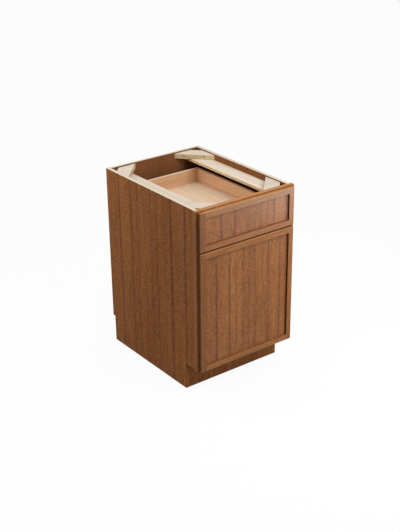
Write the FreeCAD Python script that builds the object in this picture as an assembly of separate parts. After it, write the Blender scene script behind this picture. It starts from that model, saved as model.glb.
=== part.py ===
import FreeCAD, Part
import math
import os

# A base cabinet with a face frame, an open top, one drawer and, below it, a door that tilts out
# on a long hinge with a vegetable bin behind it.
# Millimetres. X runs across the front, +Y to the wall, +Z up.
# The origin is on the floor, midway across the width and midway between the drawer front and the wall.

# --- cabinet box ---
cabinet_width = 520.7        # without the face frame's overhang
box_depth = 685.8            # face frame's front to the rear edges of the sides
cabinet_height = 876.3
side_thickness = 17.5
back_thickness = 12.7
back_inset = 3.2             # the rear edges of the sides stand this far behind the back
deck_thickness = 15.9
dado_depth = 5.0             # the deck and the back enter the sides this far
toe_depth = 94.0
toe_height = 127.0
toe_board_thickness = 12.7
rear_notch_height = 128.0    # the sides are cut away below this to clear a wall's base trim

# --- face frame ---
frame_thickness = 22.2
frame_overhang = 6.35        # past the cabinet's sides
frame_groove_depth = 6.35    # the sides' front edges enter the stiles this far
stile_width = 44.45
top_rail_height = 38.1
mid_rail_height = 38.1
bottom_rail_height = 38.1

# --- top stretchers and corner blocks ---
left_stretcher_width = 83.0
right_stretcher_width = 75.0
stretcher_thickness = 12.7
block_drop = 6.0             # tops of the blocks below the rim
block_thickness = 23.8
block_leg = 132.0            # along the frame or the back
block_side_leg = 138.0       # along the cabinet's side
block_clip = 42.0
block_screw_reach = 100.0    # corner to screw, along a leg
block_screw_seat = 20.0      # wood left under the head

# --- drawer front and door ---
front_thickness = 15.9
front_gap = 1.6              # between a front's back and the face frame
side_reveal = 11.4           # face frame's edge to the front's
top_reveal = 5.2
drawer_front_height = 175.5
front_spacing = 7.9          # between the drawer front and the door
door_reveal = 1.0            # door's lower edge above the frame's
front_rail_width = 27.0
panel_recess = 9.5
rabbet_width = 8.0
panel_play = 0.5
edge_radius = 3.0

# --- drawer box ---
drawer_rear_gap = 49.2       # drawer box to the back
drawer_side_thickness = 12.7
drawer_box_height = 79.4
drawer_floor_thickness = 6.35
drawer_floor_lift = 6.35     # lower edge of the sides to the floor panel
drawer_groove_depth = 5.0
drawer_clearance = 5.5       # below the box, above the mid rail
slide_space = 12.7           # between a drawer side and the opening's edge

# --- drawer slides ---
slide_rear_gap = 58.3        # slide to the back, bridged by the rear bracket
slide_setback = 2.0          # slide's front end behind the face frame's front
slide_height = 45.0
slide_metal = 1.2
slide_race = 0.3             # clearance between nested flanges
slide_lift = 15.0            # drawer box's lower edge to the slide's
slide_web_gap = 1.5          # between the cabinet member's web and the middle member's
slide_flange_gap = 0.8
bracket_metal = 1.5
bracket_overlap = 40.0
bracket_height = 56.0
bracket_flange = 20.0

# --- tilt-out hinge ---
knuckle_radius = 2.2
knuckle_length = 24.0
knuckle_gap = 0.3
knuckle_clearance = 0.3      # knuckles below the frame's lower edge
hinge_pin_radius = 1.05
hinge_pin_play = 0.06
leaf_thickness = 0.7
leaf_height = 16.0
hinge_inset = 30.0           # cabinet side to the hinge's end
hinge_screw_count = 5

# --- bin ---
bin_side_thickness = 12.7
bin_side_clearance = 6.35    # to each side of the opening
bin_floor_clearance = 6.4    # above the bottom rail
bin_swing_clearance = 5.0    # under the mid rail as the bin swings past
bin_board_thickness = 9.5
bin_front_drop = 35.7        # front board's top edge below the mid rail
slat_thickness = 9.5
bottom_slat_count = 5
bottom_slat_gap = 14.0
back_slat_count = 5
back_slat_gap = 20.0
divider_thickness = 9.5
divider_drop = 51.2          # below the top of the bin's back
tilt_angle = 30.0            # degrees
stop_thickness = 2.0
stop_width = 18.0
stop_bite = 8.0              # how far the stop's corner lands above the mid rail's edge
stop_tail = 70.0
stop_play = 0.5
stop_gap = 1.0               # stop to the back slats

# --- catches, bumpers ---
catch_width = 44.0
catch_height = 12.0
catch_depth = 34.0
catch_spacing = 240.0
catch_setback = 0.4
strike_height = 18.0
strike_thickness = 1.1
bumper_radius = 5.0
bumper_thickness = 1.4
bumper_inset = 14.0

# --- screws: head radius, head height, shank radius ---
pan_screw = (3.6, 1.1, 1.9)
pocket_screw = (4.0, 2.2, 2.0)
leaf_screw = (2.4, 0.6, 1.2)
screw_play = 0.1
block_screw_bite = 10.5      # into the side, the frame or the back
panel_screw_bite = 5.0       # into a front's panel
slide_screw_length = 11.0
hinge_screw_length = 13.0
rivet_length = 4.0

# --- worked out from the sizes above ---
half_width = cabinet_width / 2
inner_x = half_width - side_thickness
frame_half_width = half_width + frame_overhang
opening_x = frame_half_width - stile_width
front_face_y = -(box_depth + front_gap + front_thickness) / 2
front_back_y = front_face_y + front_thickness
frame_y = front_back_y + front_gap
frame_back_y = frame_y + frame_thickness
side_front_y = frame_back_y - frame_groove_depth
rear_y = frame_y + box_depth
back_outer_y = rear_y - back_inset
back_inner_y = back_outer_y - back_thickness
toe_y = frame_y + toe_depth

deck_top = toe_height + bottom_rail_height
deck_bottom = deck_top - deck_thickness
block_top = cabinet_height - block_drop
block_bottom = block_top - block_thickness
stretcher_bottom = block_bottom - stretcher_thickness

front_half_width = frame_half_width - side_reveal
drawer_front_top = cabinet_height - top_reveal
drawer_front_bottom = drawer_front_top - drawer_front_height
door_top = drawer_front_bottom - front_spacing
door_bottom = toe_height + door_reveal
mid_rail_top = door_top + (front_spacing + mid_rail_height) / 2
mid_rail_bottom = mid_rail_top - mid_rail_height
panel_thickness = front_thickness - panel_recess

drawer_half = opening_x - slide_space
drawer_bottom = mid_rail_top + drawer_clearance
drawer_top = drawer_bottom + drawer_box_height
drawer_rear = back_inner_y - drawer_rear_gap
drawer_floor = drawer_bottom + drawer_floor_lift + drawer_floor_thickness
slide_y = frame_y + slide_setback
slide_length = back_inner_y - slide_rear_gap - slide_y
slide_z = drawer_bottom + slide_lift + slide_height / 2

pivot_y = (front_back_y + frame_y) / 2
pivot_z = toe_height - knuckle_clearance - knuckle_radius
bin_half = opening_x - bin_side_clearance
bin_bottom = deck_top + bin_floor_clearance
bin_front_top = mid_rail_bottom - bin_front_drop
bin_swing = mid_rail_bottom - pivot_z - bin_swing_clearance

# At full tilt a corner of each stop meets the back of the mid rail. This is that corner, turned back to rest.
tilt = math.radians(tilt_angle)
stop_reach_y = frame_back_y + stop_play - pivot_y
stop_reach_z = mid_rail_bottom + stop_bite - pivot_z
stop_edge_y = pivot_y + stop_reach_y * math.cos(tilt) + stop_reach_z * math.sin(tilt)
stop_top = pivot_z - stop_reach_y * math.sin(tilt) + stop_reach_z * math.cos(tilt)

bin_back_y = stop_edge_y + stop_width + stop_gap + slat_thickness
bin_back_top = pivot_z + math.sqrt(bin_swing ** 2 - (bin_back_y - pivot_y) ** 2)
divider_top = bin_back_top - divider_drop


def box(x, y, z):
    """A block from its span along each axis."""
    (x0, x1), (y0, y1), (z0, z1) = sorted(x), sorted(y), sorted(z)
    return Part.makeBox(x1 - x0, y1 - y0, z1 - z0, FreeCAD.Vector(x0, y0, z0))


def prism(points, x):
    """An outline in Y and Z, drawn out along X."""
    x0, x1 = sorted(x)
    corners = [FreeCAD.Vector(x0, y, z) for y, z in points]
    outline = Part.makePolygon(corners + corners[:1])
    return Part.Face(outline).extrude(FreeCAD.Vector(x1 - x0, 0, 0))


def rod(start, direction, radius, length):
    return Part.makeCylinder(radius, length, FreeCAD.Vector(*start), FreeCAD.Vector(*direction))


def screw(start, direction, kind, length, play=0.0):
    """A screw whose head begins at start. With play, it is the hole that the screw goes in."""
    head_radius, head_height, shank_radius = kind
    head = rod(start, direction, head_radius + play, head_height)
    shank = rod(start, direction, shank_radius + play, head_height + length + play)
    return head.fuse(shank).removeSplitter()


def screws(places, kind, length):
    return Part.makeCompound([screw(start, way, kind, length) for start, way in places])


def drilled(wood, places, kind, length):
    for start, way in places:
        wood = wood.cut(screw(start, way, kind, length, screw_play))
    return wood


def spread(low, high, count):
    """Evenly spaced places from low to high, both ends included."""
    step = (high - low) / (count - 1)
    return [low + step * i for i in range(count)]


# --- where the screws go ---

def block_screws(side, wall_y, inward):
    """Two pocket screws in a corner block: one into the side, one into the frame or the back."""
    middle = (block_top + block_bottom) / 2
    head = pocket_screw[1]
    to_side = ((side * (inner_x - block_screw_seat - head), wall_y + inward * block_screw_reach, middle),
               (side, 0, 0))
    to_wall = ((side * (inner_x - block_screw_reach), wall_y + inward * (block_screw_seat + head), middle),
               (0, -inward, 0))
    return [to_side, to_wall]


def all_block_screws():
    corners = [(side, wall) for side in (-1, 1) for wall in ((frame_back_y, 1), (back_inner_y, -1))]
    return [place for side, wall in corners for place in block_screws(side, *wall)]


block_screw_length = block_screw_seat + block_screw_bite


def slide_front_screws(side):
    """Through the cabinet member's web into the stile's edge."""
    x = side * (opening_x - slide_metal - pan_screw[1])
    y = (slide_y + frame_back_y) / 2
    return [((x, y, slide_z + z), (side, 0, 0)) for z in (-slide_height / 5, slide_height / 5)]


def bracket_rivets(side):
    """Through the cabinet member's web into the rear bracket."""
    x = side * (opening_x - slide_metal - pan_screw[1])
    y = slide_y + slide_length - bracket_overlap / 2
    return [((x, y, slide_z + z), (side, 0, 0)) for z in (-slide_height / 5, slide_height / 5)]


def bracket_screws(side):
    """Through the rear bracket's flange into the back."""
    x = side * (opening_x + bracket_flange / 2)
    y = back_inner_y - bracket_metal - pan_screw[1]
    return [((x, y, slide_z + z), (0, 1, 0)) for z in (-bracket_height / 4, bracket_height / 4)]


def drawer_slide_screws(side):
    """Through the drawer member's web into the drawer's side."""
    x = side * (drawer_half + slide_metal + pan_screw[1])
    inset = slide_length / 8
    return [((x, y, slide_z), (-side, 0, 0)) for y in spread(slide_y + inset, slide_y + slide_length - inset, 3)]


def drawer_front_screws():
    """Through the front of the drawer box into the drawer front's panel."""
    y = front_back_y + drawer_side_thickness + pan_screw[1]
    z = (drawer_floor + drawer_top) / 2
    return [((x, y, z), (0, -1, 0)) for x in spread(-drawer_half * 3 / 4, drawer_half * 3 / 4, 4)]


def bin_front_screws():
    """Through the bin's front board into the door's panel."""
    y = front_back_y + bin_board_thickness + pan_screw[1]
    inset = (bin_front_top - bin_bottom) / 8
    rows = spread(bin_bottom + inset, bin_front_top - inset, 3)
    return [((x, y, z), (0, -1, 0)) for x in (-bin_half * 3 / 4, bin_half * 3 / 4) for z in rows]


def hinge_screw_xs():
    reach = half_width - hinge_inset - knuckle_length
    return spread(-reach, reach, hinge_screw_count)


def hinge_frame_screws():
    z = toe_height + leaf_height / 2
    return [((x, frame_y - leaf_screw[1], z), (0, 1, 0)) for x in hinge_screw_xs()]


def hinge_door_screws():
    z = toe_height + leaf_height / 2
    shift = knuckle_length / 2
    return [((x + shift, front_back_y + leaf_screw[1], z), (0, -1, 0)) for x in hinge_screw_xs()[:-1]]


# --- cabinet ---

def deck():
    x = inner_x + dado_depth
    return box((-x, x), (frame_back_y, back_inner_y), (deck_bottom, deck_top))


def back_blank():
    x = inner_x + dado_depth
    return box((-x, x), (back_inner_y, back_outer_y), (rear_notch_height, cabinet_height))


def back_panel():
    panel = drilled(back_blank(), all_block_screws(), pocket_screw, block_screw_length)
    for side in (-1, 1):
        panel = drilled(panel, bracket_screws(side), pan_screw, slide_screw_length)
    return panel


def side_panel(side):
    outline = [(rear_y, rear_notch_height), (rear_y, cabinet_height), (side_front_y, cabinet_height),
               (side_front_y, toe_height), (toe_y, toe_height), (toe_y, 0),
               (back_inner_y, 0), (back_inner_y, rear_notch_height)]
    panel = prism(outline, (side * inner_x, side * half_width))
    panel = panel.cut(deck()).cut(back_blank())
    return drilled(panel, all_block_screws(), pocket_screw, block_screw_length)


def toe_board():
    return box((-inner_x, inner_x), (toe_y, toe_y + toe_board_thickness), (0, deck_bottom))


def frame_stile(side):
    z = (toe_height, cabinet_height)
    stile = box((side * opening_x, side * frame_half_width), (frame_y, frame_back_y), z)
    stile = stile.cut(box((side * inner_x, side * half_width), (side_front_y, frame_back_y), z))
    stile = drilled(stile, slide_front_screws(side), pan_screw, slide_screw_length)
    return drilled(stile, hinge_frame_screws(), leaf_screw, hinge_screw_length)


def frame_rail(low, high):
    rail = box((-opening_x, opening_x), (frame_y, frame_back_y), (low, high))
    rail = drilled(rail, all_block_screws(), pocket_screw, block_screw_length)
    return drilled(rail, hinge_frame_screws(), leaf_screw, hinge_screw_length)


def top_stretcher(side, width):
    return box((side * (inner_x - width), side * inner_x), (frame_back_y, back_inner_y),
               (stretcher_bottom, block_bottom))


def corner_block(side, wall_y, inward):
    """A triangle of thick board, with the corner cut off and a pocket hole for each screw."""
    corners = [(inner_x - block_clip, wall_y), (inner_x - block_leg, wall_y),
               (inner_x, wall_y + inward * block_side_leg), (inner_x, wall_y + inward * block_clip)]
    points = [FreeCAD.Vector(side * x, y, block_bottom) for x, y in corners]
    block = Part.Face(Part.makePolygon(points + points[:1])).extrude(FreeCAD.Vector(0, 0, block_thickness))
    for start, way in block_screws(side, wall_y, inward):
        pocket = rod(start, [-part for part in way], pocket_screw[0] + screw_play, block_side_leg)
        block = block.cut(pocket)
    return drilled(block, block_screws(side, wall_y, inward), pocket_screw, block_screw_length)


# --- drawer slides ---

def channel(side, web_x, tip_x, half_height, toward):
    """A pressed channel: an upright web, and two flanges that run from it to tip_x."""
    y = (slide_y, slide_y + slide_length)
    web = box((side * web_x, side * (web_x + toward * slide_metal)), y,
              (slide_z - half_height, slide_z + half_height))
    flanges = [box((side * web_x, side * tip_x), y,
                   (slide_z + up * half_height, slide_z + up * (half_height - slide_metal))) for up in (-1, 1)]
    return web.fuse(flanges).removeSplitter()


middle_web_x = opening_x - slide_metal - slide_web_gap
drawer_web_x = drawer_half + slide_metal
middle_half_height = slide_height / 2 - slide_metal - slide_race
drawer_member_half_height = middle_half_height - slide_metal - slide_race


def slide_cabinet_member(side):
    member = channel(side, opening_x, drawer_web_x + 2 * slide_flange_gap, slide_height / 2, -1)
    member = drilled(member, slide_front_screws(side), pan_screw, slide_screw_length)
    return drilled(member, bracket_rivets(side), pan_screw, rivet_length)


def slide_middle_member(side):
    return channel(side, middle_web_x, drawer_web_x + slide_flange_gap, middle_half_height, -1)


def slide_drawer_member(side):
    tip_x = middle_web_x - slide_metal - slide_flange_gap
    member = channel(side, drawer_half, tip_x, drawer_member_half_height, 1)
    return drilled(member, drawer_slide_screws(side), pan_screw, slide_screw_length)


def slide_rear_bracket(side):
    """A bent plate: it lies on the slide's outer face and turns out along the back."""
    z = (slide_z - bracket_height / 2, slide_z + bracket_height / 2)
    arm = box((side * opening_x, side * (opening_x + bracket_metal)),
              (slide_y + slide_length - bracket_overlap, back_inner_y), z)
    flange = box((side * opening_x, side * (opening_x + bracket_flange)),
                 (back_inner_y - bracket_metal, back_inner_y), z)
    bracket = drilled(arm.fuse(flange).removeSplitter(), bracket_rivets(side), pan_screw, rivet_length)
    return drilled(bracket, bracket_screws(side), pan_screw, slide_screw_length)


# --- drawer front and door: two stiles, two rails and a flat panel let in from behind ---

def front_frame(low, high):
    blank = box((-front_half_width, front_half_width), (front_face_y, front_back_y), (low, high))
    outer_edges = [edge for edge in blank.Edges
                   if all(abs(vertex.Y - front_face_y) < 0.01 for vertex in edge.Vertexes)]
    blank = blank.makeFillet(edge_radius, outer_edges)
    x = front_half_width - front_rail_width
    window = box((-x, x), (front_face_y, front_back_y), (low + front_rail_width, high - front_rail_width))
    return blank.cut(window).cut(front_panel_blank(low, high, 0))


def front_panel_blank(low, high, play):
    """The panel, or with no play the rabbet that it lies in."""
    lap = front_rail_width - rabbet_width + play
    x = front_half_width - lap
    return box((-x, x), (front_face_y + panel_recess, front_back_y), (low + lap, high - lap))


def front_stile(low, high, side):
    x = (side * (front_half_width - front_rail_width), side * front_half_width)
    return front_frame(low, high).common(box(x, (front_face_y, front_back_y), (low, high)))


def front_rail(low, high, at_top):
    x = front_half_width - front_rail_width
    z = (high - front_rail_width, high) if at_top else (low, low + front_rail_width)
    return front_frame(low, high).common(box((-x, x), (front_face_y, front_back_y), z))


# --- drawer ---

def drawer_floor_panel():
    x = drawer_half - drawer_side_thickness + drawer_groove_depth
    y = (front_back_y + drawer_side_thickness - drawer_groove_depth,
         drawer_rear - drawer_side_thickness + drawer_groove_depth)
    return box((-x, x), y, (drawer_floor - drawer_floor_thickness, drawer_floor))


def drawer_side(side):
    board = box((side * (drawer_half - drawer_side_thickness), side * drawer_half),
                (front_back_y, drawer_rear), (drawer_bottom, drawer_top))
    return drilled(board.cut(drawer_floor_panel()), drawer_slide_screws(side), pan_screw, slide_screw_length)


def drawer_end(low_y):
    x = drawer_half - drawer_side_thickness
    board = box((-x, x), (low_y, low_y + drawer_side_thickness), (drawer_bottom, drawer_top))
    board = board.cut(drawer_floor_panel())
    return drilled(board, drawer_front_screws(), pan_screw, drawer_side_thickness + panel_screw_bite)


def drawer_front_panel():
    panel = front_panel_blank(drawer_front_bottom, drawer_front_top, panel_play)
    return drilled(panel, drawer_front_screws(), pan_screw, drawer_side_thickness + panel_screw_bite)


def bumpers(heights):
    """Clear dots stuck to the corners of a front's back, where it meets the face frame."""
    x = front_half_width - bumper_inset
    return Part.makeCompound([rod((side * x, front_back_y, z), (0, 1, 0), bumper_radius, bumper_thickness)
                              for side in (-1, 1) for z in heights])


# --- tilt-out hinge ---

hinge_half_length = half_width - hinge_inset
knuckle_count = max(3, int(2 * hinge_half_length // knuckle_length))
knuckle_pitch = 2 * hinge_half_length / knuckle_count


def hinge_leaf(first, flat_y, tab_y):
    """A leaf with every second knuckle, from the first one on."""
    low = toe_height + knuckle_gap
    leaf = box((-hinge_half_length, hinge_half_length), (flat_y, tab_y), (low, toe_height + leaf_height))
    for number in range(first, knuckle_count, 2):
        start = -hinge_half_length + number * knuckle_pitch + knuckle_gap / 2
        length = knuckle_pitch - knuckle_gap
        tab = box((start, start + length), (flat_y, tab_y), (pivot_z, low))
        knuckle = rod((start, pivot_y, pivot_z), (1, 0, 0), knuckle_radius, length)
        leaf = leaf.fuse(tab).fuse(knuckle)
    bore = rod((-hinge_half_length - 1, pivot_y, pivot_z), (1, 0, 0), hinge_pin_radius + hinge_pin_play,
               2 * hinge_half_length + 2)
    return leaf.removeSplitter().cut(bore)


def hinge_frame_leaf():
    leaf = hinge_leaf(0, frame_y, frame_y - leaf_thickness)
    return drilled(leaf, hinge_frame_screws(), leaf_screw, hinge_screw_length)


def hinge_door_leaf():
    leaf = hinge_leaf(1, front_back_y, front_back_y + leaf_thickness)
    return drilled(leaf, hinge_door_screws(), leaf_screw, hinge_screw_length)


def hinge_pin():
    return rod((-hinge_half_length, pivot_y, pivot_z), (1, 0, 0), hinge_pin_radius, 2 * hinge_half_length)


# --- door and bin ---

def door_panel():
    panel = front_panel_blank(door_bottom, door_top, panel_play)
    return drilled(panel, bin_front_screws(), pan_screw, bin_board_thickness + panel_screw_bite)


def door_rail(at_top):
    rail = front_rail(door_bottom, door_top, at_top)
    return drilled(rail, hinge_door_screws(), leaf_screw, hinge_screw_length)


def bin_side(side):
    """A quadrant: its upper edge is an arc about the hinge, so it swings under the mid rail."""
    x = side * (bin_half - bin_side_thickness), side * bin_half
    x0 = min(x)
    front_top = pivot_z + math.sqrt(bin_swing ** 2 - (front_back_y - pivot_y) ** 2)
    middle_y = (front_back_y + bin_back_y) / 2
    middle_top = pivot_z + math.sqrt(bin_swing ** 2 - (middle_y - pivot_y) ** 2)
    spots = [(front_back_y, front_top), (front_back_y, bin_bottom), (bin_back_y, bin_bottom),
             (bin_back_y, bin_back_top)]
    points = [FreeCAD.Vector(x0, y, z) for y, z in spots]
    top = Part.Arc(points[3], FreeCAD.Vector(x0, middle_y, middle_top), points[0]).toShape()
    edges = [Part.LineSegment(points[i], points[i + 1]).toShape() for i in range(3)]
    return Part.Face(Part.Wire(edges + [top])).extrude(FreeCAD.Vector(bin_side_thickness, 0, 0))


bin_inner = bin_half - bin_side_thickness


def bin_front_board():
    board = box((-bin_inner, bin_inner), (front_back_y, front_back_y + bin_board_thickness),
                (bin_bottom, bin_front_top))
    return drilled(board, bin_front_screws(), pan_screw, bin_board_thickness + panel_screw_bite)


def bin_bottom_slats():
    low, high = front_back_y + bin_board_thickness, bin_back_y - slat_thickness
    width = (high - low - bottom_slat_gap * (bottom_slat_count - 1)) / bottom_slat_count
    starts = [low + i * (width + bottom_slat_gap) for i in range(bottom_slat_count)]
    return Part.makeCompound([box((-bin_inner, bin_inner), (y, y + width), (bin_bottom, bin_bottom + slat_thickness))
                              for y in starts])


def bin_back_slats():
    width = (bin_back_top - bin_bottom - back_slat_gap * (back_slat_count - 1)) / back_slat_count
    starts = [bin_bottom + i * (width + back_slat_gap) for i in range(back_slat_count)]
    return Part.makeCompound([box((-bin_inner, bin_inner), (bin_back_y - slat_thickness, bin_back_y), (z, z + width))
                              for z in starts])


def bin_divider():
    return box((-divider_thickness / 2, divider_thickness / 2),
               (front_back_y + bin_board_thickness, bin_back_y - slat_thickness),
               (bin_bottom + slat_thickness, divider_top))


def bin_stops():
    """Steel strips on the bin's sides. Their upper front corners meet the back of the mid rail at full tilt."""
    z = (bin_back_top - stop_tail, stop_top)
    return Part.makeCompound([box((side * (bin_inner - stop_thickness), side * bin_inner),
                                  (stop_edge_y, stop_edge_y + stop_width), z) for side in (-1, 1)])


# --- catches ---

def magnetic_catches():
    return Part.makeCompound([box((x - catch_width / 2, x + catch_width / 2),
                                  (frame_y + catch_setback, frame_y + catch_setback + catch_depth),
                                  (mid_rail_bottom - catch_height, mid_rail_bottom))
                              for x in (-catch_spacing / 2, catch_spacing / 2)])


def strike_plates():
    z = mid_rail_bottom - catch_height / 2
    return Part.makeCompound([box((x - catch_width / 2, x + catch_width / 2),
                                  (front_back_y, front_back_y + strike_thickness),
                                  (z - strike_height / 2, z + strike_height / 2))
                              for x in (-catch_spacing / 2, catch_spacing / 2)])


def nodes():
    """Every piece by name."""
    made = {
        "back_panel": back_panel(),
        "bottom_deck": deck(),
        "toe_kick_board": toe_board(),
        "frame_top_rail": frame_rail(cabinet_height - top_rail_height, cabinet_height),
        "frame_mid_rail": frame_rail(mid_rail_bottom, mid_rail_top),
        "frame_bottom_rail": frame_rail(toe_height, deck_top),
        "top_stretcher_left": top_stretcher(-1, left_stretcher_width),
        "top_stretcher_right": top_stretcher(1, right_stretcher_width),
        "corner_block_screws": screws(all_block_screws(), pocket_screw, block_screw_length),
        "hinge_frame_leaf": hinge_frame_leaf(),
        "hinge_pin": hinge_pin(),
        "hinge_frame_screws": screws(hinge_frame_screws(), leaf_screw, hinge_screw_length),
        "drawer_box_front": drawer_end(front_back_y),
        "drawer_box_back": drawer_end(drawer_rear - drawer_side_thickness),
        "drawer_floor": drawer_floor_panel(),
        "drawer_front_panel": drawer_front_panel(),
        "drawer_front_screws": screws(drawer_front_screws(), pan_screw, drawer_side_thickness + panel_screw_bite),
        "drawer_bumpers": bumpers((drawer_front_bottom + bumper_radius + edge_radius / 2,
                                   drawer_front_top - bumper_inset)),
        "hinge_door_leaf": hinge_door_leaf(),
        "hinge_door_screws": screws(hinge_door_screws(), leaf_screw, hinge_screw_length),
        "door_panel": door_panel(),
        "door_bumpers": bumpers([door_top - bumper_inset]),
        "bin_front_board": bin_front_board(),
        "bin_front_screws": screws(bin_front_screws(), pan_screw, bin_board_thickness + panel_screw_bite),
        "bin_bottom_slats": bin_bottom_slats(),
        "bin_back_slats": bin_back_slats(),
        "bin_divider": bin_divider(),
        "bin_stops": bin_stops(),
        "magnetic_catches": magnetic_catches(),
        "strike_plates": strike_plates(),
    }
    for at_top, name in ((True, "top"), (False, "bottom")):
        made["drawer_front_rail_" + name] = front_rail(drawer_front_bottom, drawer_front_top, at_top)
        made["door_rail_" + name] = door_rail(at_top)
    cabinet_slide_screws = []
    rivets = []
    drawer_member_screws = []
    for side, name in ((-1, "left"), (1, "right")):
        made["side_panel_" + name] = side_panel(side)
        made["frame_stile_" + name] = frame_stile(side)
        made["corner_block_front_" + name] = corner_block(side, frame_back_y, 1)
        made["corner_block_back_" + name] = corner_block(side, back_inner_y, -1)
        made["slide_cabinet_member_" + name] = slide_cabinet_member(side)
        made["slide_middle_member_" + name] = slide_middle_member(side)
        made["slide_drawer_member_" + name] = slide_drawer_member(side)
        made["slide_rear_bracket_" + name] = slide_rear_bracket(side)
        made["drawer_side_" + name] = drawer_side(side)
        made["drawer_front_stile_" + name] = front_stile(drawer_front_bottom, drawer_front_top, side)
        made["door_stile_" + name] = front_stile(door_bottom, door_top, side)
        made["bin_side_" + name] = bin_side(side)
        cabinet_slide_screws += [screw(start, way, pan_screw, slide_screw_length)
                                 for start, way in slide_front_screws(side) + bracket_screws(side)]
        rivets += [screw(start, way, pan_screw, rivet_length) for start, way in bracket_rivets(side)]
        drawer_member_screws += [screw(start, way, pan_screw, slide_screw_length)
                                 for start, way in drawer_slide_screws(side)]
    made["slide_cabinet_screws"] = Part.makeCompound(cabinet_slide_screws + rivets)
    made["slide_drawer_screws"] = Part.makeCompound(drawer_member_screws)
    return made


os.makedirs("parts", exist_ok=True)
for node_name, shape in nodes().items():
    shape.exportStep(os.path.join("parts", node_name + ".step"))
    print(node_name, len(shape.Solids), round(shape.Volume), shape.isValid())
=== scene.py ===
import math

import bpy
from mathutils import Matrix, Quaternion, Vector


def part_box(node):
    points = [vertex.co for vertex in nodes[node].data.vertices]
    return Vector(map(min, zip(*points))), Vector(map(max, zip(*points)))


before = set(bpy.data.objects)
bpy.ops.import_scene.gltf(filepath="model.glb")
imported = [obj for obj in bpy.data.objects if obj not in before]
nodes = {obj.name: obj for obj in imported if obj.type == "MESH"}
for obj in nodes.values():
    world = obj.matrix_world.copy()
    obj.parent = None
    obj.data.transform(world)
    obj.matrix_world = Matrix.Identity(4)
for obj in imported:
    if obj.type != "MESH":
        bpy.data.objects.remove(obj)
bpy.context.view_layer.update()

MM = 0.001

# --- the camera stands where the photograph was taken from; its angles are in degrees ---
CAMERA_PLACE = Vector((-2.5725, -3.4551, 2.4336))
CAMERA_AZIMUTH = -36.70
CAMERA_ELEVATION = 24.84
CAMERA_ROLL = -0.69
CAMERA_LENS = 69.796

# --- lamps: the place, the point that it faces, the length of its sides and its power ---
LAMPS = {
    "high_softbox": ((0.3, -1.2, 1.8), (0, -0.3, 0.6), 0.8, 14.3),
    "low_softbox": ((0.95, -1.6, 0.55), (0.2, -0.35, 0.6), 0.6, 3.0),
    "right_softbox": ((1.05, -1.25, 0.5), (0.2, -0.35, 0.8), 0.4, 4.2),
    "left_softbox": ((-1.2, 0.9, 1.4), (-0.26, 0, 0.6), 0.8, 7.8),
    "overhead_softbox": ((0, 0.1, 2.2), (0, 0, 0.6), 1.4, 2.6),
    "rear_softbox": ((-0.25, 0.4, 1.7), (0.1, 0.1, 0.8), 0.8, 2.2),
}
WORLD_STRENGTH = 0.5
WHITE = (1, 1, 1, 1)
FLOOR_REACH = 40.0
FLOOR_LIT = (0.35, 0.35, 0.35, 1)
FLOOR_PLAIN_WHITE = 0.94

# --- the dark streaks of one sheet of veneer: the steps in mm between them, and how strong each one is ---
STREAK_STEPS = (71, 37, 38, 33, 33, 39, 37, 66)
STREAK_STRENGTHS = (0.95, 1.0, 0.4, 0.55, 0.45, 0.5, 0.4, 0.8, 0.9)
STREAK_HALF_WIDTH = 8.5 * MM
STREAK_WANDER = 4 * MM
STREAK_AMOUNT = 0.9
DOOR_FIRST_STREAK = -166 * MM
DRAWER_FIRST_STREAK = -138 * MM
SIDE_FIRST_STREAK = -250 * MM
SIDE_STREAK_STRETCH = 1.42

# --- sizes of the wood's figure, across the grain and along it ---
STAINED_BROAD = (90 * MM, 800 * MM)
STAINED_FIGURE = (11 * MM, 80 * MM)
STAINED_FLECK = (4.5 * MM, 6.5 * MM)
STAINED_PORE = (0.7 * MM, 12 * MM)
STAINED_RED = (20 * MM, 300 * MM)
STREAK_FADE = (50 * MM, 50 * MM)
STREAK_WAVE = (500 * MM, 160 * MM)
PALE_BROAD = (50 * MM, 500 * MM)
PALE_LINES = (6 * MM, 350 * MM)
PALE_PORE = (0.8 * MM, 18 * MM)
BRUSHED_LINE = (0.6 * MM, 50 * MM)
SIDE_COARSENESS = 1.45

# --- scales of the textures that follow no grain, in features per metre along X, Y and Z ---
PLY_WAVE_SCALE = (60, 60, 60)
END_FIBRE_SCALE = (900, 900, 900)
SAW_MARK_SCALE = (320, 320, 40)
METAL_STAIN_SCALE = (40, 40, 40)
PLASTIC_SPECKLE_SCALE = (1800, 1800, 1800)
PLASTIC_CLOUD_SCALE = (90, 90, 90)

# --- how a seed moves a texture ---
STAINED_SEED_STEPS = (1.7, 2.3, 3.1)
PALE_SEED_STEPS = (1.3, 2.9, 1.9)

# --- shade of the wood: each part's share, and where the dark, middle and light tones lie ---
BROAD_SHARE = 0.2
FIGURE_SHARE = 0.25
FLECK_SHARE = 0.55
STAINED_STOPS = (0.38, 0.50, 0.62)
PALE_STOPS = (0.32, 0.52, 0.72)

# --- ranges: the texture's values at the two ends, and what they turn into ---
RED_PATCHES = (0.5, 0.65, 0.0, 0.35)
STAINED_PORES = (0.58, 0.72, 0.0, 0.3)
STREAK_FADING = (0.35, 0.65, 0.6, 1.0)
STREAK_FLECKS = (0.4, 0.6, 1.15, 0.8)
PALE_CLOUDS = (0.4, 0.7, 0.0, 0.5)
PALE_PORES = (0.6, 0.75, 0.0, 0.3)
END_FIBRES = (0.35, 0.65, 0.0, 1.0)
SAW_MARKS = (0.45, 0.65, 0.0, 0.35)
METAL_STAINS = (0.4, 0.7, 0.0, 0.5)
GLOSS_FROM, GLOSS_TO = 0.3, 0.7

# --- relief: its height, and how deep the pores lie in it ---
STAINED_RELIEF = 0.12 * MM
STAINED_PORE_DEPTH = 0.6
PALE_RELIEF = 0.1 * MM
PALE_PORE_DEPTH = 0.5
METAL_RELIEF = 0.03 * MM
PLASTIC_RELIEF = 0.04 * MM

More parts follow.
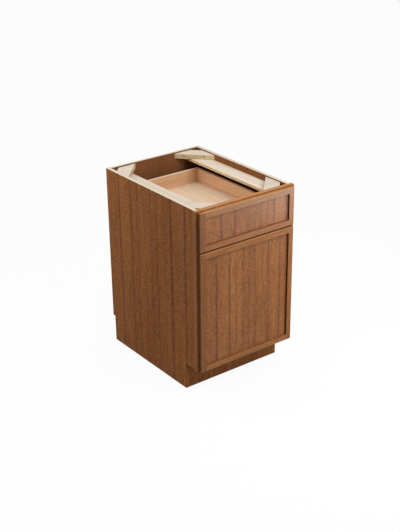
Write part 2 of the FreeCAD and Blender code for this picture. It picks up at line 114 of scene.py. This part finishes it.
# --- masks: how square to an axis a face is, how rounded an edge is, and the slack on a face's place ---
SQUARE_FACE = 0.7
ROUNDED_FROM = 0.98
ROUNDED_FULL = 0.86
FACE_SLACK = 0.3 * MM
WINDOW_SLACK = 0.4 * MM

# --- eased wood edges ---
EASED_EDGE = 0.6 * MM
EASED_SEGMENTS = 2
SHARP_FROM = 40
WELD_REACH = 0.01 * MM

# --- the blocks' cut corners, and how far below the boards the shade reaches ---
BLOCK_CLIP = 42 * MM
SHADE_BELOW_BOARDS = 60 * MM
THIN_BAND = 1 * MM

# --- plywood: how far its layers wander, and where in a layer the glue line starts ---
PLY_WANDER = 0.5 * MM
GLUE_LINE_FROM = 0.45


def tone(red, green, blue):
    """A colour as a screen shows it, 0 to 255, turned into the linear one that a shader takes."""
    def linear(part):
        part = part / 255
        return part / 12.92 if part <= 0.04045 else ((part + 0.055) / 1.055) ** 2.4
    return (linear(red), linear(green), linear(blue), 1.0)


def shaded(colour, level):
    """A colour's parts, 0 to 255, all made lighter or darker."""
    return tuple(part * level for part in colour)


# --- tones as a screen shows them ---
STAIN = ((122, 72, 37), (150, 96, 54), (174, 116, 66))
STAIN_RED = (146, 85, 55)
STAIN_PORE = (98, 56, 32)
STAIN_STREAK = (92, 54, 46)
# the dark colour of painted shade, laid in corners, recesses and gaps
PAINTED_SHADE = (34, 16, 8)
# lighter stain of worn edges, partly a painted highlight; also the painted light on the fronts' upper faces
EDGE_WEAR_AND_HIGHLIGHT = (196, 142, 92)
# plainer stain of the sides' inner faces, darkened as painted shade
STAIN_INSIDE_SHADED = (120, 76, 43)
# painted light on the frame's upper faces
FRAME_TOP_LIT = (178, 122, 70)
FRAME_END = (166, 125, 99)
# painted sheen on the front faces of the drawer front's top rail
RAIL_SHEEN = (182, 154, 116)
BACK_VEIL = (124, 88, 66)
GLUE = (110, 78, 50)
PANEL_PLY = ((218, 206, 188), (203, 188, 165))
BOARD_PLY = ((246, 222, 180), (196, 152, 104))
BLOCK_PLY = ((222, 204, 168), (182, 156, 114))
MAPLE = ((196, 152, 112), (210, 168, 128), (222, 182, 144))
# painted light: a lighter copy of the maple for the drawer's sides, matched to how bright their walls look
LIT_SIDE_MAPLE = ((206, 156, 114), (220, 172, 130), (232, 186, 146))
# painted highlight on the upper edges of the drawer box
MAPLE_TOP_HIGHLIGHT = (250, 222, 190)
DRAWER_FLOOR = ((206, 175, 141), (220, 193, 163), (234, 214, 189))
BIRCH = ((186, 152, 110), (206, 174, 132), (220, 190, 150))
BARE_WOOD = ((206, 188, 164), (219, 204, 184), (228, 216, 200))
# painted shade: each piece's copy of the bare wood is made darker by its level, to match how much light
# reaches it
BARE_WOOD_SHADE_LEVELS = {
    "top_stretcher_left": 0.945,
    "top_stretcher_right": 1.0,
    "corner_block_front_left": 0.91,
    "corner_block_front_right": 0.905,
    "corner_block_back_left": 0.95,
    "corner_block_back_right": 0.985,
}

# --- roughness of pale wood ---
RAW = 0.65
SANDED = 0.5
LACQUERED = 0.45

# --- gloss of a stained surface: its roughness and its specular level ---
SATIN = (0.36, 0.15)
SHEEN = (0.33, 0.24)
MATT = (0.55, 0.03)


class Paint:
    """A material and short ways to add nodes to it. An input takes a number, a colour or a node's output."""

    def __init__(self, name, roughness=0.5, metallic=0.0):
        self.material = bpy.data.materials.new(name)
        self.material.use_nodes = True
        self.tree = self.material.node_tree
        self.shader = self.tree.nodes["Principled BSDF"]
        self.shader.inputs["Metallic"].default_value = metallic
        self.shader.inputs["Roughness"].default_value = roughness
        where = self.node("ShaderNodeTexCoord")
        self.place = where.outputs["Object"]
        self.normal = where.outputs["Normal"]

    def feed(self, socket, value):
        if isinstance(value, bpy.types.NodeSocket):
            self.tree.links.new(value, socket)
        else:
            socket.default_value = value

    def node(self, kind, inputs=None, **settings):
        made = self.tree.nodes.new(kind)
        for key, value in settings.items():
            setattr(made, key, value)
        for socket, value in (inputs or {}).items():
            self.feed(made.inputs[socket], value)
        return made

    def math(self, operation, first, second=0.0, third=0.0, clamp=False):
        inputs = {0: first, 1: second, 2: third}
        made = self.node("ShaderNodeMath", inputs, operation=operation, use_clamp=clamp)
        return made.outputs[0]

    def mix(self, factor, first, second):
        made = self.node("ShaderNodeMix", {0: factor, 6: first, 7: second}, data_type="RGBA")
        return made.outputs[2]

    def axes(self, vector):
        made = self.node("ShaderNodeSeparateXYZ", {0: vector})
        return dict(zip("XYZ", made.outputs))

    def scaled(self, scale, offset=(0, 0, 0)):
        made = self.node("ShaderNodeMapping", {"Vector": self.place, "Location": offset, "Scale": scale})
        return made.outputs[0]

    def noise(self, scale, offset=(0, 0, 0), detail=2.0, roughness=0.5, distortion=0.0):
        inputs = {"Vector": self.scaled(scale, offset), "Scale": 1.0, "Detail": detail,
                  "Roughness": roughness, "Distortion": distortion}
        made = self.node("ShaderNodeTexNoise", inputs)
        return made.outputs[0]

    def remap(self, value, low, high, to_low=0.0, to_high=1.0):
        made = self.node("ShaderNodeMapRange", {0: value, 1: low, 2: high, 3: to_low, 4: to_high})
        return made.outputs[0]

    def ramp(self, value, stops):
        made = self.node("ShaderNodeValToRGB", {0: value})
        elements = made.color_ramp.elements
        while len(elements) < len(stops):
            elements.new(1.0)
        for element, (position, colour) in zip(elements, stops):
            element.position = position
            element.color = colour
        return made.outputs[0]

    def facing(self, axis):
        """1 on faces square to an axis of the object, 0 on the others."""
        along = self.math("ABSOLUTE", self.axes(self.normal)[axis])
        return self.math("GREATER_THAN", along, SQUARE_FACE)

    def rounded(self):
        """1 on rounded edges, where the surface is square to no axis."""
        parts = [self.math("ABSOLUTE", part) for part in self.axes(self.normal).values()]
        most = self.math("MAXIMUM", self.math("MAXIMUM", parts[0], parts[1]), parts[2])
        return self.remap(most, ROUNDED_FROM, ROUNDED_FULL)

    def upward(self):
        return self.math("GREATER_THAN", self.axes(self.normal)["Z"], SQUARE_FACE)

    def bump(self, height, distance):
        made = self.node("ShaderNodeBump", {"Height": height, "Distance": distance})
        self.feed(self.shader.inputs["Normal"], made.outputs[0])

    def gloss(self, value, rough_low, rough_high):
        """Roughness that follows a texture a little."""
        roughness = self.remap(value, GLOSS_FROM, GLOSS_TO, rough_low, rough_high)
        self.feed(self.shader.inputs["Roughness"], roughness)

    def cover(self, colour, accents):
        """Lays accents over a colour. Each is a function that gives a mask and the colour to put there."""
        for accent in accents:
            mask, over = accent(self)
            colour = self.mix(mask, colour, over)
        return colour

    def finish(self, colour):
        self.feed(self.shader.inputs["Base Color"], colour)
        return self.material


def seed_offset(seed, steps):
    return tuple(seed * step for step in steps)


def stretched(grain, size, coarseness=1.0):
    """Scales for a texture that is drawn out along the grain, from its feature size across and along."""
    across, along = (part * coarseness for part in size)
    return tuple(1 / along if axis == grain else 1 / across for axis in "XYZ")


def streaks(paint, axis, first, stretch):
    """How much of a dark streak there is at each place across the grain."""
    places = [first]
    for step in STREAK_STEPS:
        places.append(places[-1] + step * MM * stretch)
    half = STREAK_HALF_WIDTH * stretch
    low, high = places[0] - 2 * half, places[-1] + 2 * half
    wave = paint.noise(stretched("Z", STREAK_WAVE), detail=1)
    wandered = paint.math("MULTIPLY_ADD", wave, STREAK_WANDER, paint.axes(paint.place)[axis])
    across = paint.remap(wandered, low + STREAK_WANDER / 2, high + STREAK_WANDER / 2)
    stops = [(0.0, (0, 0, 0, 1))]
    for place, strength in zip(places, STREAK_STRENGTHS):
        for offset, value in ((-half, 0.0), (0.0, strength), (half, 0.0)):
            stops.append(((place + offset - low) / (high - low), (value, value, value, 1)))
    return paint.ramp(across, stops)


def stained_wood(name, grain, seed, streak_axis=None, first_streak=0.0, stretch=1.0, gloss=SATIN, depth=1.0,
                 coarseness=1.0, accents=()):
    """Brown stained wood under lacquer. The seed gives each board a figure of its own."""
    roughness, specular = gloss
    paint = Paint(name)
    offset = seed_offset(seed, STAINED_SEED_STEPS)
    turned_offset = (offset[1], offset[2], offset[0])
    broad = paint.noise(stretched(grain, STAINED_BROAD), offset)
    figure = paint.noise(stretched(grain, STAINED_FIGURE), offset, detail=3, roughness=0.6, distortion=0.2)
    fleck = paint.noise(stretched(grain, STAINED_FLECK, coarseness), offset, roughness=0.6)
    pore = paint.noise(stretched(grain, STAINED_PORE), offset)
    red = paint.noise(stretched(grain, STAINED_RED), turned_offset)
    shade = paint.math("MULTIPLY", broad, BROAD_SHARE)
    shade = paint.math("MULTIPLY_ADD", figure, FIGURE_SHARE, shade)
    shade = paint.math("MULTIPLY_ADD", fleck, FLECK_SHARE, shade)
    tones = [tone(*shaded(colour, depth)) for colour in STAIN]
    colour = paint.ramp(shade, list(zip(STAINED_STOPS, tones)))
    colour = paint.mix(paint.remap(red, *RED_PATCHES), colour, tone(*STAIN_RED))
    colour = paint.mix(paint.remap(pore, *STAINED_PORES), colour, tone(*STAIN_PORE))
    if streak_axis:
        fade = paint.noise(stretched("Z", STREAK_FADE), offset, detail=3)
        amount = streaks(paint, streak_axis, first_streak, stretch)
        amount = paint.math("MULTIPLY", amount, paint.remap(fade, *STREAK_FADING))
        amount = paint.math("MULTIPLY", amount, paint.remap(fleck, *STREAK_FLECKS))
        amount = paint.math("MULTIPLY", amount, STREAK_AMOUNT, clamp=True)
        colour = paint.mix(amount, colour, tone(*STAIN_STREAK))
    colour = paint.cover(colour, accents)
    paint.bump(paint.math("MULTIPLY_ADD", pore, -STAINED_PORE_DEPTH, figure), STAINED_RELIEF)
    paint.gloss(fleck, roughness - 0.05, roughness + 0.05)
    paint.shader.inputs["Specular IOR Level"].default_value = specular
    return paint.finish(colour)


def plywood(axis, piece, count, tones, glue=0.35):
    """The layers of a sheet of plywood, as thick as a piece of the frame is along an axis."""
    low, high = (getattr(corner, axis.lower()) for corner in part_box(piece))
    return {"axis": axis, "start": low, "thickness": high - low, "count": count, "tones": tones, "glue": glue}


def ply_layers(paint, axis, start, thickness, count, tones, glue):
    """The edge of plywood: side grain and darker end grain in turn, with thin glue lines and saw marks."""
    light, dark = tones
    depth = paint.math("ABSOLUTE", paint.axes(paint.place)[axis])
    wave = paint.noise(PLY_WAVE_SCALE)
    depth = paint.math("MULTIPLY_ADD", wave, PLY_WANDER, depth)
    layer = paint.remap(depth, start, start + thickness, 0.0, count)
    odd = paint.math("GREATER_THAN", paint.math("MODULO", layer, 2.0), 1.0)
    fibre = paint.noise(END_FIBRE_SCALE)
    end_grain = paint.mix(paint.remap(fibre, *END_FIBRES), tone(*dark), tone(*shaded(dark, 1.1)))
    colour = paint.mix(odd, tone(*light), end_grain)
    line = paint.math("GREATER_THAN", paint.math("PINGPONG", layer, 0.5), GLUE_LINE_FROM)
    colour = paint.mix(paint.math("MULTIPLY", line, glue), colour, tone(*GLUE))
    saw_marks = paint.noise(SAW_MARK_SCALE)
    return paint.mix(paint.remap(saw_marks, *SAW_MARKS), colour, tone(*shaded(dark, 0.8)))


def pale_wood(name, grain, seed, tones, roughness, ply=None, accents=()):
    """Bare or clear-finished pale wood. Faces of plywood that aren't square to its axis show the layers."""
    paint = Paint(name, roughness)
    offset = seed_offset(seed, PALE_SEED_STEPS)
    dark, middle, light = (tone(*colour) for colour in tones)
    broad = paint.noise(stretched(grain, PALE_BROAD), offset, distortion=0.4)
    lines = paint.noise(stretched(grain, PALE_LINES), offset, detail=3, roughness=0.65)
    pore = paint.noise(stretched(grain, PALE_PORE), offset)
    colour = paint.ramp(lines, list(zip(PALE_STOPS, (dark, middle, light))))
    colour = paint.mix(paint.remap(broad, *PALE_CLOUDS), colour, light)
    colour = paint.mix(paint.remap(pore, *PALE_PORES), colour, dark)
    if ply:
        colour = paint.mix(paint.facing(ply["axis"]), ply_layers(paint, **ply), colour)
    colour = paint.cover(colour, accents)
    paint.bump(paint.math("MULTIPLY_ADD", pore, -PALE_PORE_DEPTH, lines), PALE_RELIEF)
    paint.gloss(lines, roughness + 0.06, roughness - 0.06)
    return paint.finish(colour)


def metal(name, colour, roughness, brushed="Y"):
    """Plated steel with fine lines along one axis and faint stains."""
    paint = Paint(name, roughness, metallic=1.0)
    lines = paint.noise(stretched(brushed, BRUSHED_LINE), detail=3)
    stain = paint.noise(METAL_STAIN_SCALE, detail=3)
    stained = paint.mix(paint.remap(stain, *METAL_STAINS), tone(*colour), tone(*shaded(colour, 0.8)))
    paint.gloss(lines, roughness - 0.08, roughness + 0.12)
    paint.bump(lines, METAL_RELIEF)
    return paint.finish(stained)


def plastic(name, colour, roughness, transmission=0.0):
    """Moulded plastic with a fine speckle."""
    paint = Paint(name, roughness)
    speckle = paint.noise(PLASTIC_SPECKLE_SCALE, detail=1)
    cloud = paint.noise(PLASTIC_CLOUD_SCALE)
    paint.bump(speckle, PLASTIC_RELIEF)
    paint.gloss(cloud, roughness - 0.05, roughness + 0.08)
    paint.shader.inputs["Transmission Weight"].default_value = transmission
    return paint.finish(paint.mix(cloud, tone(*colour), tone(*shaded(colour, 0.92))))


# --- accents: each gives a function that returns a mask and the colour to put there ---

def bare_top(ply):
    """The upper edge of a panel, where the bare layers of the plywood show."""
    def accent(paint):
        return paint.facing("Z"), ply_layers(paint, **ply)
    return accent


def painted_light_on_top(amount, colour):
    """A lighter colour on upper faces: painted light, where light from above falls on them."""
    def accent(paint):
        return paint.math("MULTIPLY", paint.upward(), amount), tone(*colour)
    return accent


def worn_and_lit_edges(amount):
    """A lighter stain on rounded edges: partly wear, partly a painted highlight where they catch the light.
    """
    def accent(paint):
        return paint.math("MULTIPLY", paint.rounded(), amount), tone(*EDGE_WEAR_AND_HIGHLIGHT)
    return accent


def toned_faces(axis, amount, colour):
    """Another colour on the faces square to an axis, used for tones of stain and for painted shade and sheen.
    """
    def accent(paint):
        return paint.math("MULTIPLY", paint.facing(axis), amount), tone(*colour)
    return accent


def plain_shaded_inside(limit, amount, colour):
    """A plainer stain on faces nearer to the middle plane than a limit, darker there as painted shade."""
    def accent(paint):
        near = paint.math("LESS_THAN", paint.math("ABSOLUTE", paint.axes(paint.place)["X"]), limit)
        return paint.math("MULTIPLY", near, amount), tone(*colour)
    return accent


def shaded_region(x_limits, z_limits, amount, y_limits=None):
    """A region at both sides where little light comes. With Y limits, only what lies outside them counts."""
    def accent(paint):
        place = paint.axes(paint.place)
        aside = paint.math("ABSOLUTE", place["X"])
        mask = paint.math("GREATER_THAN", aside, x_limits[0])
        mask = paint.math("MULTIPLY", mask, paint.math("LESS_THAN", aside, x_limits[1]))
        if y_limits:
            front = paint.math("LESS_THAN", place["Y"], y_limits[0])
            rear = paint.math("GREATER_THAN", place["Y"], y_limits[1])
            mask = paint.math("MULTIPLY", mask, paint.math("MAXIMUM", front, rear))
        mask = paint.math("MULTIPLY", mask, paint.math("GREATER_THAN", place["Z"], z_limits[0]))
        mask = paint.math("MULTIPLY", mask, paint.math("LESS_THAN", place["Z"], z_limits[1]))
        return paint.math("MULTIPLY", mask, amount), tone(*PAINTED_SHADE)
    return accent


def shaded_window(half_width, low, high, wall_amount, ledge_amount):
    """Painted shade on the inner walls and ledges of a front, around its panel, where the recess lies in
    shade.
    """
    def accent(paint):
        place = paint.axes(paint.place)
        across = paint.math("LESS_THAN", paint.math("ABSOLUTE", place["X"]), half_width + WINDOW_SLACK)
        above = paint.math("GREATER_THAN", place["Z"], low - WINDOW_SLACK)
        below = paint.math("LESS_THAN", place["Z"], high + WINDOW_SLACK)
        within = paint.math("MULTIPLY", paint.math("MULTIPLY", across, above), below)
        amount = paint.remap(paint.facing("X"), 0.0, 1.0, ledge_amount, wall_amount)
        return paint.math("MULTIPLY", within, amount), tone(*PAINTED_SHADE)
    return accent


# --- materials on the pieces ---

def clothe(names, material):
    for name in names:
        slots = nodes[name].data.materials
        slots.clear()
        slots.append(material)


def both(stem):
    return [stem + "left", stem + "right"]


def shade_in_corners():
    """The shade behind the blocks' cut corners, on the boards and on the inner faces of the sides."""
    side_low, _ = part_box("side_panel_right")
    back_low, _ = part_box("back_panel")
    _, stile_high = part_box("frame_stile_right")
    _, board_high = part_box("top_stretcher_right")
    _, block_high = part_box("corner_block_back_right")
    return shaded_region(x_limits=(board_high.x - BLOCK_CLIP, side_low.x + FACE_SLACK),
                         y_limits=(stile_high.y + BLOCK_CLIP, back_low.y - BLOCK_CLIP),
                         z_limits=(board_high.z - THIN_BAND, block_high.z), amount=0.6)


def shade_below_boards():
    """The shade on the inner faces of the sides, below the two long boards."""
    side_low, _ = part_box("side_panel_right")
    board_low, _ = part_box("top_stretcher_right")
    return shaded_region(x_limits=(side_low.x - THIN_BAND, side_low.x + FACE_SLACK),
                         z_limits=(board_low.z - SHADE_BELOW_BOARDS, board_low.z), amount=0.85)


def dress_sides():
    side_low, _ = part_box("side_panel_right")
    # the sides' inner faces: a plainer stain, darkened as painted shade inside the box
    inner_face = plain_shaded_inside(side_low.x + FACE_SLACK, amount=0.6, colour=STAIN_INSIDE_SHADED)
    top = bare_top(plywood("X", "side_panel_right", count=7, tones=PANEL_PLY, glue=0.15))
    clothe(both("side_panel_"),
           stained_wood("stained_side", "Z", seed=1, streak_axis="Y", first_streak=SIDE_FIRST_STREAK,
                        stretch=SIDE_STREAK_STRETCH, gloss=MATT, coarseness=SIDE_COARSENESS,
                        accents=(inner_face, shade_in_corners(), shade_below_boards(), top)))


def dress_frame():
    # painted light: the frame's upper faces made lighter, as light from above falls on them
    lit_frame_top = painted_light_on_top(amount=0.85, colour=FRAME_TOP_LIT)
    pale_end = toned_faces("X", amount=0.35, colour=FRAME_END)
    # painted shade on the stiles' faces square to Y, for the strip that the overhanging fronts shadow
    shaded_frame_face = toned_faces("Y", amount=0.15, colour=PAINTED_SHADE)
    clothe(both("frame_stile_"),
           stained_wood("stained_stile", "Z", seed=2, gloss=MATT, accents=(pale_end, shaded_frame_face, lit_frame_top)))
    clothe(["frame_top_rail", "frame_bottom_rail"],
           stained_wood("stained_rail", "X", seed=3, accents=(lit_frame_top,)))
    # painted shade: the mid rail is stained much darker, as it lies in the dark gap between the fronts
    clothe(["frame_mid_rail"], stained_wood("mid_rail_painted_shade", "X", seed=3, depth=0.4))


def dress_box():
    back_veil = toned_faces("Y", amount=0.3, colour=BACK_VEIL)
    back_top = bare_top(plywood("Y", "back_panel", count=5, tones=PANEL_PLY, glue=0.15))
    # painted shade: the recessed toe board and the back and deck inside the box take darker copies of the
    # stain
    clothe(["toe_kick_board"], stained_wood("stained_toe_board", "Z", seed=4, gloss=MATT, depth=0.92))
    clothe(["back_panel"],
           stained_wood("stained_back", "Z", seed=5, gloss=MATT, depth=0.85, accents=(back_veil, back_top)))
    clothe(["bottom_deck"], stained_wood("stained_deck", "Y", seed=6, gloss=MATT, depth=0.85))


def dress_boards_and_blocks():
    board_ply = plywood("Z", "top_stretcher_right", count=3, tones=BOARD_PLY)
    block_ply = plywood("Z", "corner_block_back_right", count=9, tones=BLOCK_PLY)
    corners = shade_in_corners()
    for name, level in BARE_WOOD_SHADE_LEVELS.items():
        bare = [shaded(colour, level) for colour in BARE_WOOD]
        if name.startswith("corner"):
            wood = pale_wood("bare_" + name, "X", 8, bare, RAW, ply=block_ply)
        else:
            wood = pale_wood("bare_" + name, "Y", 7, bare, RAW, ply=board_ply, accents=(corners,))
        clothe([name], wood)


def dress_front(stem, panel, seed, first_streak, gloss, left_stile_shade_depth, top_rail_accents=()):
    """One front: its panel with the streaks, its two stiles and its two rails."""
    left_stile, right_stile = both(stem + "_stile_")
    top_rail, bottom_rail = stem + "_rail_top", stem + "_rail_bottom"
    stile_low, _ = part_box(right_stile)
    _, bottom_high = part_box(bottom_rail)
    top_low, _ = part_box(top_rail)
    # painted shade on the walls and ledges of the recess around the panel
    window = shaded_window(stile_low.x, bottom_high.z, top_low.z, wall_amount=0.75, ledge_amount=0.45)
    # the fronts' rounded edges and upper faces get a painted highlight
    edges = (worn_and_lit_edges(amount=0.6), painted_light_on_top(amount=0.3, colour=EDGE_WEAR_AND_HIGHLIGHT), window)
    clothe([panel], stained_wood("stained_" + panel, "Z", seed, "X", first_streak, gloss=gloss))
    for stile, depth in ((left_stile, left_stile_shade_depth), (right_stile, 1.0)):
        clothe([stile],
               stained_wood("stained_" + stile, "Z", seed + 1, gloss=gloss, depth=depth, accents=edges))
    for rail, extra in ((top_rail, top_rail_accents), (bottom_rail, ())):
        clothe([rail], stained_wood("stained_" + rail, "X", seed + 2, gloss=gloss, accents=edges + extra))


def dress_fronts():
    # painted sheen: a paler, greyer colour on the front faces of the drawer front's top rail
    painted_rail_sheen = toned_faces("Y", amount=0.14, colour=RAIL_SHEEN)
    # painted shade: the left stiles of both fronts are stained darker
    dress_front("door", "door_panel", 9, DOOR_FIRST_STREAK, SATIN, left_stile_shade_depth=0.87)
    dress_front("drawer_front", "drawer_front_panel", 12, DRAWER_FIRST_STREAK, SHEEN, left_stile_shade_depth=0.92,
                top_rail_accents=(painted_rail_sheen,))


def dress_drawer():
    # painted highlight on the upper edges of the drawer box's front and back
    painted_top_highlight = painted_light_on_top(amount=0.8, colour=MAPLE_TOP_HIGHLIGHT)
    clothe(["drawer_box_front", "drawer_box_back"],
           pale_wood("drawer_end_wood", "X", 15, MAPLE, LACQUERED, accents=(painted_top_highlight,)))
    clothe(both("drawer_side_"), pale_wood("drawer_side_wood", "Y", 16, LIT_SIDE_MAPLE, LACQUERED))
    clothe(["drawer_floor"], pale_wood("drawer_floor_wood", "Y", 17, DRAWER_FLOOR, SANDED))


def dress_bin():
    clothe(both("bin_side_"), pale_wood("bin_side_wood", "Z", 18, BIRCH, SANDED))
    clothe(["bin_front_board", "bin_bottom_slats", "bin_back_slats"],
           pale_wood("bin_slat_wood", "X", 19, BIRCH, SANDED))
    clothe(["bin_divider"], pale_wood("bin_divider_wood", "Y", 20, BIRCH, SANDED))


def dress_hardware():
    zinc = metal("zinc_plate", (168, 170, 172), 0.34)
    for member in ("cabinet", "middle", "drawer"):
        clothe(both("slide_" + member + "_member_"), zinc)
    clothe(["bin_stops", "strike_plates"], zinc)
    clothe(both("slide_rear_bracket_"), metal("bracket_steel", (96, 94, 96), 0.45, "Z"))
    clothe(["hinge_frame_leaf", "hinge_door_leaf", "hinge_pin"], metal("dark_bronze", (74, 54, 40), 0.4, "X"))
    screw_names = [name for name in nodes if name.endswith("screws")]
    clothe(screw_names, metal("screw_steel", (160, 158, 150), 0.3, "Z"))
    clothe(["drawer_bumpers", "door_bumpers"],
           plastic("clear_bumper", (232, 232, 228), 0.25, transmission=0.6))
    clothe(["magnetic_catches"], plastic("catch_brown", (86, 60, 42), 0.5))


def ease(names):
    """Rounds the sharp edges a little, as sanding does, so that they catch the light."""
    for name in names:
        weld = nodes[name].modifiers.new("weld", "WELD")
        weld.merge_threshold = WELD_REACH
        bevel = nodes[name].modifiers.new("eased_edges", "BEVEL")
        bevel.width = EASED_EDGE
        bevel.segments = EASED_SEGMENTS
        bevel.limit_method = "ANGLE"
        bevel.angle_limit = math.radians(SHARP_FROM)
        shading = nodes[name].modifiers.new("shading", "WEIGHTED_NORMAL")
        shading.keep_sharp = False


def ease_wood():
    wooden = [name for name in nodes if not name.endswith(("screws", "bumpers"))
              and not name.startswith(("slide", "hinge", "strike", "magnetic"))]
    ease(wooden)


# --- floor, light and camera ---

def make_floor():
    """A wide pale floor. To the camera, part of it is plain white, which makes the shadow fainter."""
    reach = FLOOR_REACH
    corners = [(-reach, -reach, 0), (reach, -reach, 0), (reach, reach, 0), (-reach, reach, 0)]
    mesh = bpy.data.meshes.new("floor")
    mesh.from_pydata(corners, [], [(0, 1, 2, 3)])
    floor = bpy.data.objects.new("floor", mesh)
    bpy.context.scene.collection.objects.link(floor)
    paint = Paint("pale_floor", roughness=0.9)
    paint.shader.inputs["Specular IOR Level"].default_value = 0.0
    rays = paint.node("ShaderNodeLightPath").outputs
    seen = paint.math("MAXIMUM", rays["Is Camera Ray"], rays["Is Glossy Ray"])
    seen = paint.math("MAXIMUM", seen, rays["Is Transmission Ray"])
    paint.finish(paint.mix(seen, FLOOR_LIT, WHITE))
    plain = paint.node("ShaderNodeEmission", {"Color": WHITE, "Strength": 1.0}).outputs[0]
    share = paint.math("MULTIPLY", seen, FLOOR_PLAIN_WHITE)
    mixed = paint.node("ShaderNodeMixShader", {0: share, 1: paint.shader.outputs[0], 2: plain}).outputs[0]
    output = paint.tree.nodes["Material Output"]
    paint.feed(output.inputs["Surface"], mixed)
    mesh.materials.append(paint.material)


def make_world():
    """A soft light from all around, which the camera sees as plain white."""
    world = bpy.data.worlds.new("studio")
    world.use_nodes = True
    tree = world.node_tree
    background = tree.nodes["Background"]
    background.inputs["Color"].default_value = WHITE
    rays = tree.nodes.new("ShaderNodeLightPath")
    level = tree.nodes.new("ShaderNodeMapRange")
    level.inputs["To Min"].default_value = WORLD_STRENGTH
    level.inputs["To Max"].default_value = 1.0
    tree.links.new(rays.outputs["Is Camera Ray"], level.inputs["Value"])
    tree.links.new(level.outputs[0], background.inputs["Strength"])
    bpy.context.scene.world = world


def make_lamp(name, place, target, side, power):
    light = bpy.data.lights.new(name, "AREA")
    light.shape = "RECTANGLE"
    light.size = side
    light.size_y = side
    light.energy = power
    lamp = bpy.data.objects.new(name, light)
    lamp.location = place
    lamp.rotation_mode = "QUATERNION"
    lamp.rotation_quaternion = (Vector(place) - Vector(target)).to_track_quat("Z", "Y")
    lamp.visible_camera = False
    bpy.context.scene.collection.objects.link(lamp)


def make_camera():
    azimuth, elevation = math.radians(CAMERA_AZIMUTH), math.radians(CAMERA_ELEVATION)
    back = Vector((math.sin(azimuth) * math.cos(elevation), -math.cos(azimuth) * math.cos(elevation),
                   math.sin(elevation)))
    roll = Quaternion((0, 0, 1), math.radians(CAMERA_ROLL))
    data = bpy.data.cameras.new("camera")
    data.lens = CAMERA_LENS
    camera = bpy.data.objects.new("camera", data)
    camera.location = CAMERA_PLACE
    camera.rotation_mode = "QUATERNION"
    camera.rotation_quaternion = (-back).to_track_quat("-Z", "Y") @ roll
    bpy.context.scene.collection.objects.link(camera)
    bpy.context.scene.camera = camera


dress_sides()
dress_frame()
dress_box()
dress_boards_and_blocks()
dress_fronts()
dress_drawer()
dress_bin()
dress_hardware()
ease_wood()

make_floor()
make_world()
for lamp_name, settings in LAMPS.items():
    make_lamp(lamp_name, *settings)
make_camera()
bpy.context.scene.view_settings.view_transform = "Standard"
